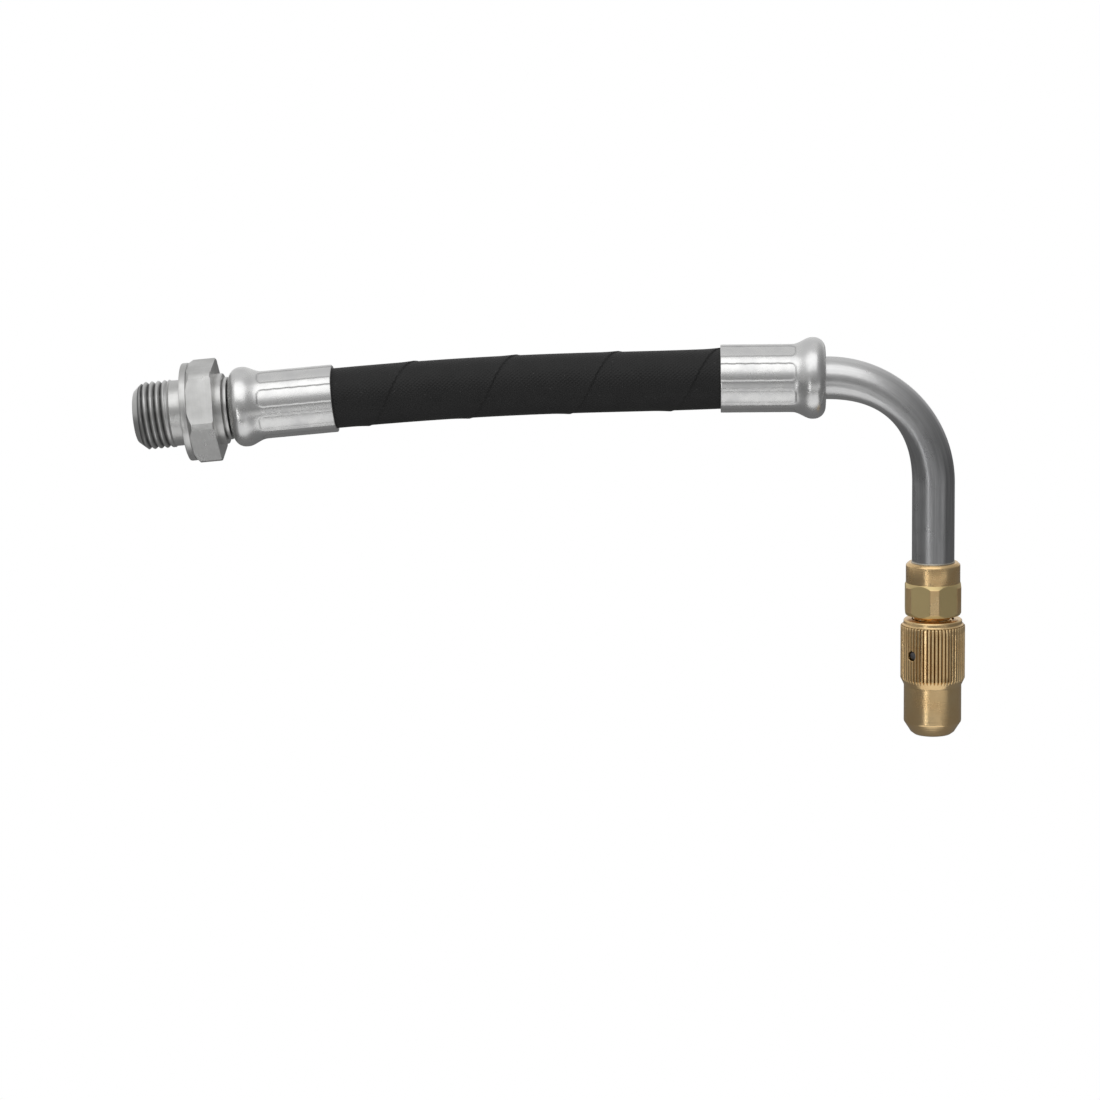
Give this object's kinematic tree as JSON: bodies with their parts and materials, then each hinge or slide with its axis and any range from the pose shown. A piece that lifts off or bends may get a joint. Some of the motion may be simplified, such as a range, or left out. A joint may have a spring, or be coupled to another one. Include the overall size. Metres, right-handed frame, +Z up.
{
  "type": "flexible oil dispensing spout",
  "caption": "Flexible filler spout for an oil dispensing gun: threaded connector, short crimped rubber hose, bent steel tube and knurled brass twist-open nozzle.",
  "frame": {"origin": "centre of the inlet connector's sealing face, where the threaded stud meets the collar, on the thread's axis", "axes": "+X along the inlet axis from the stud towards the hose, +Z up, square to +X in the plane of the bent spout, which points down; +Y completes the right-handed frame, towards the back"},
  "size_m": [0.1905, 0.0244, 0.1054],
  "materials": {
    "zinc_plated_steel": "satin bright zinc plating over turned steel",
    "crimped_steel": "bright zinc plating, semi-polished, with die marks",
    "bright_steel_tube": "bright drawn tube, slightly streaked",
    "brazing_silver": "dull silver braze",
    "pin_steel": "ground steel",
    "turned_brass": "satin turned brass, unlacquered",
    "hose_rubber": "black rubber with a cloth-wrap impression",
    "seal_rubber": "matt moulded rubber"
  },
  "bodies": {
    "inlet": {"inlet_connector": "zinc_plated_steel", "inlet_ferrule": "crimped_steel", "hose_inlet_end": "hose_rubber"},
    "hose_1": {"hose_section_1": "hose_rubber"},
    "hose_2": {"hose_section_2": "hose_rubber"},
    "hose_3": {"hose_section_3": "hose_rubber"},
    "hose_4": {"hose_section_4": "hose_rubber"},
    "hose_5": {"hose_section_5": "hose_rubber"},
    "outlet": {"hose_outlet_end": "hose_rubber", "outlet_hose_tail": "zinc_plated_steel", "outlet_ferrule": "crimped_steel", "elbow_tube": "bright_steel_tube", "tail_braze_ring": "brazing_silver", "nipple_braze_ring": "brazing_silver", "nozzle_nipple": "turned_brass", "valve_plug": "turned_brass", "valve_seal": "seal_rubber"},
    "sleeve_seal": {"sleeve_ring": "seal_rubber"},
    "sleeve": {"twist_sleeve": "turned_brass", "stop_pin": "pin_steel"}
  },
  "joints": [
    {"name": "hose_pitch_1", "type": "hinge", "parent": "inlet", "child": "hose_1", "pos_m": [0.04287, 0, -0.00003], "axis": [0, 1, 0], "range_deg": [-15, 15], "stiffness_Nm_per_rad": 8},
    {"name": "hose_sway_1", "type": "hinge", "parent": "hose_1", "child": "hose_2", "pos_m": [0.058, 0, -0.00024], "axis": [0.0214, 0, 0.9998], "range_deg": [-15, 15], "stiffness_Nm_per_rad": 8},
    {"name": "hose_pitch_2", "type": "hinge", "parent": "hose_2", "child": "hose_3", "pos_m": [0.07312, 0, -0.00067], "axis": [0, 1, 0], "range_deg": [-15, 15], "stiffness_Nm_per_rad": 8},
    {"name": "hose_sway_2", "type": "hinge", "parent": "hose_3", "child": "hose_4", "pos_m": [0.08825, 0, -0.00132], "axis": [0.0499, 0, 0.9988], "range_deg": [-15, 15], "stiffness_Nm_per_rad": 8},
    {"name": "hose_pitch_3", "type": "hinge", "parent": "hose_4", "child": "hose_5", "pos_m": [0.10335, 0, -0.00218], "axis": [0, 1, 0], "range_deg": [-15, 15], "stiffness_Nm_per_rad": 8},
    {"name": "hose_sway_3", "type": "hinge", "parent": "hose_5", "child": "outlet", "pos_m": [0.11845, 0, -0.00326], "axis": [0.0783, 0, 0.9969], "range_deg": [-15, 15], "stiffness_Nm_per_rad": 8},
    {"name": "sleeve_travel", "type": "slide", "parent": "outlet", "child": "sleeve_seal", "axis": [-0.0854, 0, -0.9963], "range_m": [0, 0.0015]},
    {"name": "sleeve_turn", "type": "hinge", "parent": "sleeve_seal", "child": "sleeve", "pos_m": [0.16831, 0, -0.09322], "axis": [-0.0854, 0, -0.9963], "range_deg": [0, 540]}
  ],
  "couplings": [
    {"joint": "hose_pitch_2", "follows": "hose_pitch_1", "ratio": 1},
    {"joint": "hose_pitch_3", "follows": "hose_pitch_1", "ratio": 1},
    {"joint": "hose_sway_2", "follows": "hose_sway_1", "ratio": 1},
    {"joint": "hose_sway_3", "follows": "hose_sway_1", "ratio": 1},
    {"joint": "sleeve_turn", "follows": "sleeve_travel", "rad_per_m": 6283.2}
  ]
}
